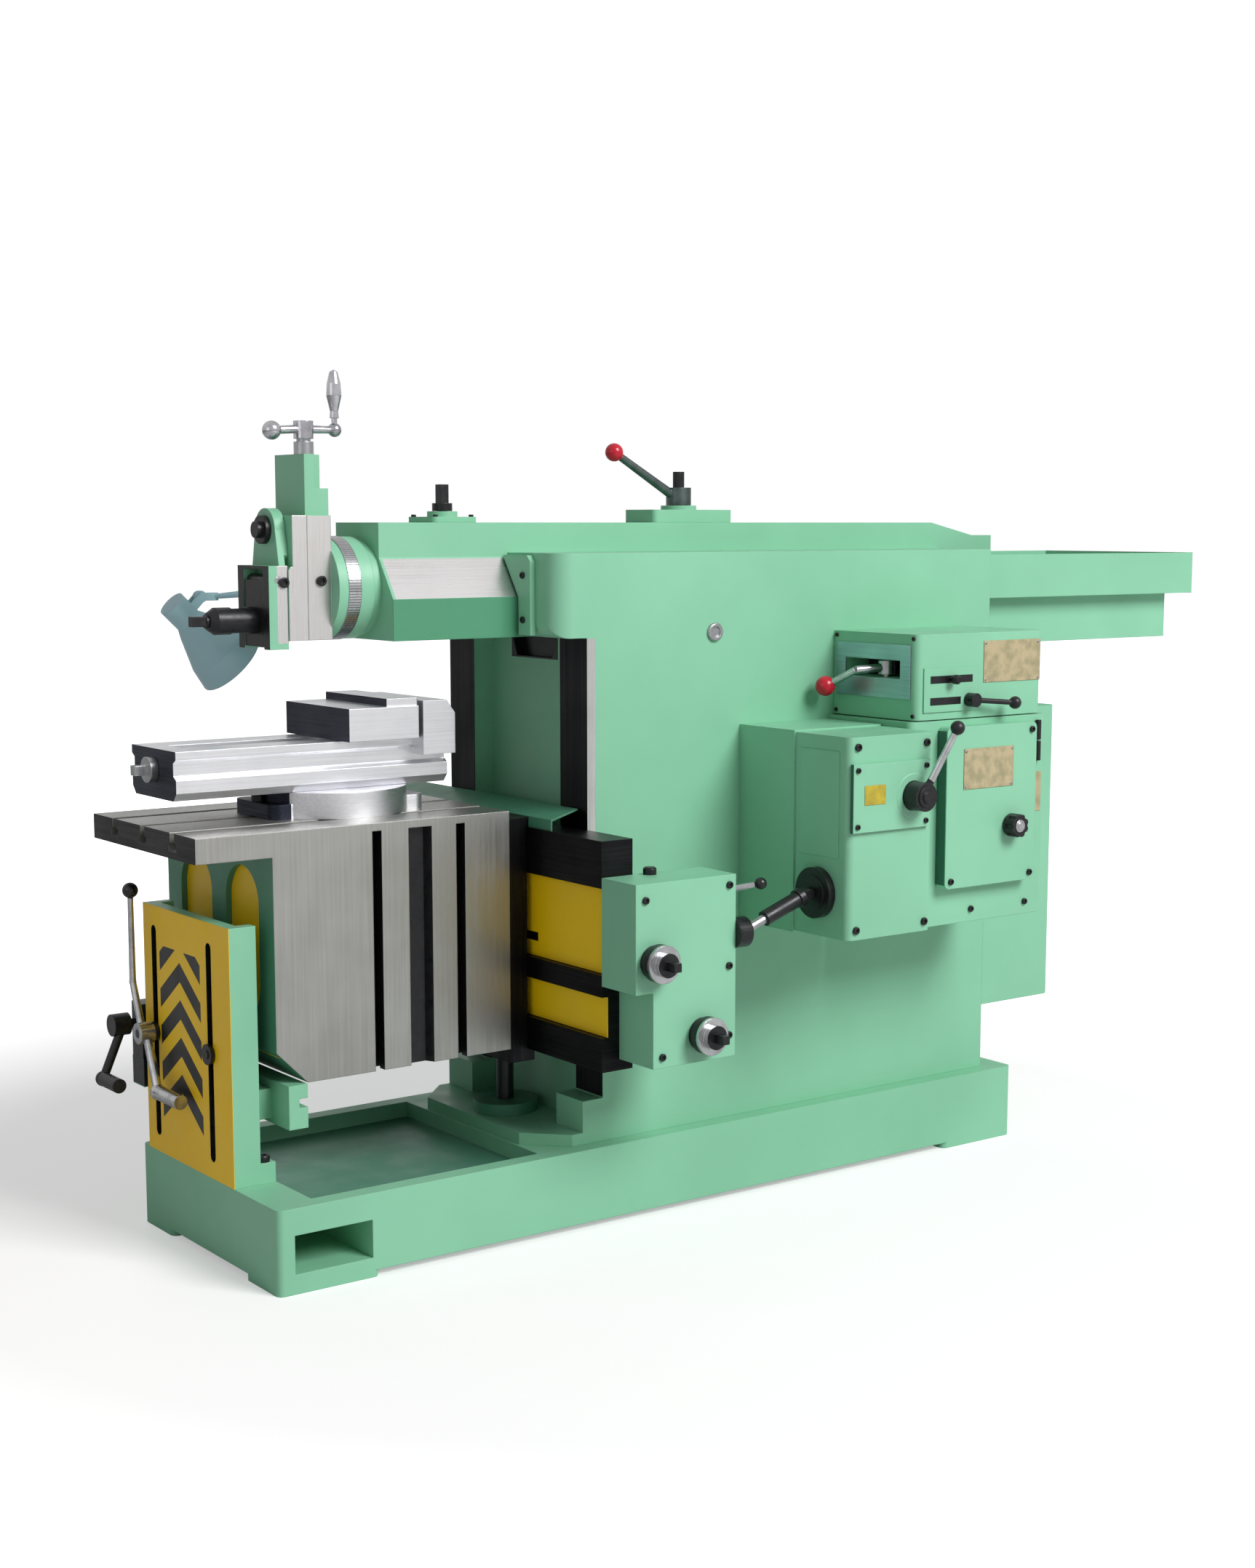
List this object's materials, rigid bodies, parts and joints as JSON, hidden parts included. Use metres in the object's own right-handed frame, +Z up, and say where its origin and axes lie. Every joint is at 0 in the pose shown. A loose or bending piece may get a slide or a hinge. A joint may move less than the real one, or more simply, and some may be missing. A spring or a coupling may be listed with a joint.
{
  "type": "metal shaper",
  "caption": "Floor-standing metal shaper with a dovetail ram, swivelling tool head, cross rail, slotted box table and swivel machine vise.",
  "frame": {"origin": "centre of the base on the floor", "axes": "X runs along the ram with the tool head at -X, the operator stands at -Y, Z is up"},
  "size_m": [2.343, 1.197, 1.517],
  "materials": {
    "green_paint": "semi-gloss machine enamel",
    "dark_green_paint": "semi-gloss machine enamel",
    "machined_steel": "ground and oiled",
    "machined_iron": "planed grey iron",
    "black_ways": "dark scraped slideways",
    "blackened_steel": "blackened steel",
    "bronze": "turned bronze",
    "hazard_paint": "yellow enamel with black chevrons",
    "lamp_enamel": "grey-blue enamel"
  },
  "bodies": {
    "frame": {"base": "green_paint", "column": "green_paint", "rocker_pivot": "machined_steel", "ram_gibs": "green_paint", "ram_wipers": "green_paint", "rear_guard": "green_paint", "gearbox": "green_paint", "gearbox_cover": "green_paint", "control_box": "green_paint", "drive_box": "green_paint", "drive_cover": "green_paint", "motor_cover": "green_paint", "front_support": "hazard_paint", "elevating_foot": "dark_green_paint"},
    "ram_body": {"ram": "green_paint", "position_plate": "green_paint", "ram_clamp_block": "dark_green_paint", "ram_clamp_stud": "machined_steel", "lamp_arm": "lamp_enamel"},
    "position_shaft": {"ram_position_shaft": "blackened_steel"},
    "ram_clamp": {"ram_clamp_lever": "machined_steel"},
    "lamp": {"lamp_shade": "lamp_enamel"},
    "head": {"swivel_head": "green_paint"},
    "head_screw": {"feed_screw": "machined_steel", "feed_crank": "machined_steel"},
    "slide": {"tool_slide": "machined_steel", "clapper_bolt": "blackened_steel"},
    "clapper_swivel": {"clapper_box": "green_paint", "clapper_pin": "machined_steel"},
    "clapper_flap": {"clapper": "blackened_steel", "tool_post": "blackened_steel"},
    "rail": {"cross_rail": "black_ways", "feed_box": "green_paint", "chip_guard": "dark_green_paint"},
    "lift_screw": {"elevating_screw": "machined_iron"},
    "lift_hand_shaft": {"lift_shaft": "machined_steel"},
    "feed_reverse": {"feed_lever": "machined_steel"},
    "cross_feed": {"cross_screw": "machined_steel"},
    "saddle_body": {"saddle": "machined_iron", "feed_nut": "bronze", "table": "machined_iron", "vise_base": "machined_iron"},
    "vise": {"vise_body": "machined_steel"},
    "jaw": {"vise_jaw": "machined_steel"},
    "jaw_screw": {"vise_screw": "machined_steel"},
    "beam": {"support_beam": "green_paint", "beam_studs": "blackened_steel"},
    "beam_lever": {"clamp_lever": "machined_steel"},
    "beam_crank": {"clamp_crank": "blackened_steel"},
    "crank_gear": {"bull_gear": "machined_iron"},
    "drive_pinion": {"pinion": "machined_steel"},
    "rocker": {"rocker_arm": "machined_iron", "slide_block": "bronze"},
    "feed_crank_disc": {"feed_disc": "blackened_steel"},
    "feed_tube": {"feed_shaft_outer": "blackened_steel"},
    "feed_rod": {"feed_shaft_inner": "machined_steel"},
    "speed_lever": {"shift_lever": "blackened_steel"},
    "clutch": {"clutch_lever": "machined_steel"},
    "gate": {"gate_lever": "blackened_steel"},
    "knob": {"drive_knob": "blackened_steel"}
  },
  "joints": [
    {"name": "ram_stroke", "type": "slide", "parent": "frame", "child": "ram_body", "axis": [1, 0, 0], "range_m": [-0.395, 0.235]},
    {"name": "ram_position", "type": "hinge", "parent": "ram_body", "child": "position_shaft", "pos_m": [-0.356, 0, 1.258], "axis": [0, 0, 1], "continuous": true},
    {"name": "ram_lock", "type": "hinge", "parent": "ram_body", "child": "ram_clamp", "pos_m": [0.174, 0, 1.3], "axis": [0, 0, 1], "range_deg": [-60, 60]},
    {"name": "lamp_tip", "type": "hinge", "parent": "ram_body", "child": "lamp", "pos_m": [-0.70456, 0.262, 1.1262], "axis": [0, 1, 0], "range_deg": [-30, 30]},
    {"name": "head_swivel", "type": "hinge", "parent": "ram_body", "child": "head", "pos_m": [-0.55, 0, 1.146], "axis": [1, 0, 0], "range_deg": [-60, 60]},
    {"name": "head_feed", "type": "slide", "parent": "head", "child": "slide", "axis": [0, 0, 1], "range_m": [-0.06, 0.06]},
    {"name": "head_crank", "type": "hinge", "parent": "head", "child": "head_screw", "pos_m": [-0.6304, 0, 1.3], "axis": [0, 0, 1], "range_deg": [-2161, 2161]},
    {"name": "clapper_tilt", "type": "hinge", "parent": "slide", "child": "clapper_swivel", "pos_m": [-0.7, 0, 1.246], "axis": [1, 0, 0], "range_deg": [-15, 15]},
    {"name": "clapper_lift", "type": "hinge", "parent": "clapper_swivel", "child": "clapper_flap", "pos_m": [-0.7142, 0, 1.162], "axis": [0, 1, 0], "range_deg": [0, 35]},
    {"name": "rail_lift", "type": "slide", "parent": "frame", "child": "rail", "axis": [0, 0, 1], "range_m": [-0.08, 0.07]},
    {"name": "lift_screw_turn", "type": "hinge", "parent": "frame", "child": "lift_screw", "pos_m": [-0.232, 0, 0.25], "axis": [0, 0, 1], "range_deg": [-3601, 3151]},
    {"name": "lift_hand_turn", "type": "hinge", "parent": "rail", "child": "lift_hand_shaft", "pos_m": [-0.126, -0.44, 0.382], "axis": [0, 1, 0], "range_deg": [-3601, 3151]},
    {"name": "feed_reverse_lever", "type": "hinge", "parent": "rail", "child": "feed_reverse", "pos_m": [-0.04, -0.416, 0.619], "axis": [1, 0, 0], "range_deg": [-20, 20]},
    {"name": "cross_slide", "type": "slide", "parent": "rail", "child": "saddle_body", "axis": [0, 1, 0], "range_m": [-0.225, 0.395]},
    {"name": "cross_screw_turn", "type": "hinge", "parent": "rail", "child": "cross_feed", "pos_m": [-0.23, 0, 0.52], "axis": [0, 1, 0], "range_deg": [-8101, 14221]},
    {"name": "vise_swivel", "type": "hinge", "parent": "saddle_body", "child": "vise", "pos_m": [-0.553, 0.071, 0.797], "axis": [0, 0, 1], "range_deg": [-90, 90]},
    {"name": "jaw_slide", "type": "slide", "parent": "vise", "child": "jaw", "axis": [1, 0, 0], "range_m": [-0.2, 0.0085]},
    {"name": "jaw_screw_turn", "type": "hinge", "parent": "vise", "child": "jaw_screw", "pos_m": [-0.88, 0.071, 0.8444], "axis": [1, 0, 0], "range_deg": [-9001, 384]},
    {"name": "beam_lift", "type": "slide", "parent": "frame", "child": "beam", "axis": [0, 0, 1], "range_m": [-0.08, 0.07]},
    {"name": "beam_lever_turn", "type": "hinge", "parent": "beam", "child": "beam_lever", "pos_m": [-0.877, 0.188, 0.3646], "axis": [1, 0, 0], "range_deg": [-30, 30]},
    {"name": "beam_crank_turn", "type": "hinge", "parent": "beam", "child": "beam_crank", "pos_m": [-0.877, 0.278, 0.3646], "axis": [1, 0, 0], "range_deg": [-30, 30]},
    {"name": "bull_gear_turn", "type": "hinge", "parent": "frame", "child": "crank_gear", "pos_m": [0.265, -0.077, 0.6], "axis": [0, 1, 0], "continuous": true},
    {"name": "pinion_turn", "type": "hinge", "parent": "frame", "child": "drive_pinion", "pos_m": [0.47713, -0.077, 0.81213], "axis": [0, 1, 0], "continuous": true},
    {"name": "rocker_swing", "type": "hinge", "parent": "frame", "child": "rocker", "pos_m": [0.265, 0, 0.235], "axis": [0, 1, 0], "range_deg": [-25.6, 15.3]},
    {"name": "feed_disc_turn", "type": "hinge", "parent": "frame", "child": "feed_crank_disc", "pos_m": [0.136, -0.449, 0.602], "axis": [1, 0, 0], "continuous": true},
    {"name": "feed_tube_swing", "type": "hinge", "parent": "frame", "child": "feed_tube", "pos_m": [0.1187, -0.449, 0.602], "axis": [0, 1, 0], "range_deg": [-26.5, 23.5]},
    {"name": "feed_rod_slide", "type": "slide", "parent": "feed_tube", "child": "feed_rod", "axis": [-0.9397, 0, -0.342], "range_m": [-0.026, 0.03]},
    {"name": "speed_lever_turn", "type": "hinge", "parent": "frame", "child": "speed_lever", "pos_m": [0.293, -0.54, 0.774], "axis": [0, 1, 0], "range_deg": [-40, 40]},
    {"name": "clutch_swing", "type": "hinge", "parent": "frame", "child": "clutch", "pos_m": [0.409, -0.337, 0.989], "axis": [0, 0, 1], "range_deg": [0, 55]},
    {"name": "gate_turn", "type": "hinge", "parent": "frame", "child": "gate", "pos_m": [0.507, -0.46, 0.931], "axis": [0, 1, 0], "range_deg": [-25, 10]},
    {"name": "drive_knob_turn", "type": "hinge", "parent": "frame", "child": "knob", "pos_m": [0.6, -0.49, 0.69102], "axis": [0, 1, 0], "continuous": true}
  ],
  "couplings": [
    {"joint": "rocker_swing", "follows": "ram_stroke", "rad_per_m": 1.12},
    {"joint": "head_crank", "follows": "head_feed", "rad_per_m": 628.32},
    {"joint": "lift_screw_turn", "follows": "rail_lift", "rad_per_m": 785.4},
    {"joint": "lift_hand_turn", "follows": "rail_lift", "rad_per_m": 785.4},
    {"joint": "beam_lift", "follows": "rail_lift", "ratio": 1},
    {"joint": "cross_screw_turn", "follows": "cross_slide", "rad_per_m": 628.32},
    {"joint": "jaw_screw_turn", "follows": "jaw_slide", "rad_per_m": 785.4},
    {"joint": "pinion_turn", "follows": "bull_gear_turn", "ratio": -4},
    {"joint": "feed_disc_turn", "follows": "bull_gear_turn", "ratio": 1},
    {"joint": "feed_tube_swing", "follows": "rail_lift", "rad_per_m": 5.7},
    {"joint": "feed_rod_slide", "follows": "rail_lift", "ratio": -0.35}
  ]
}
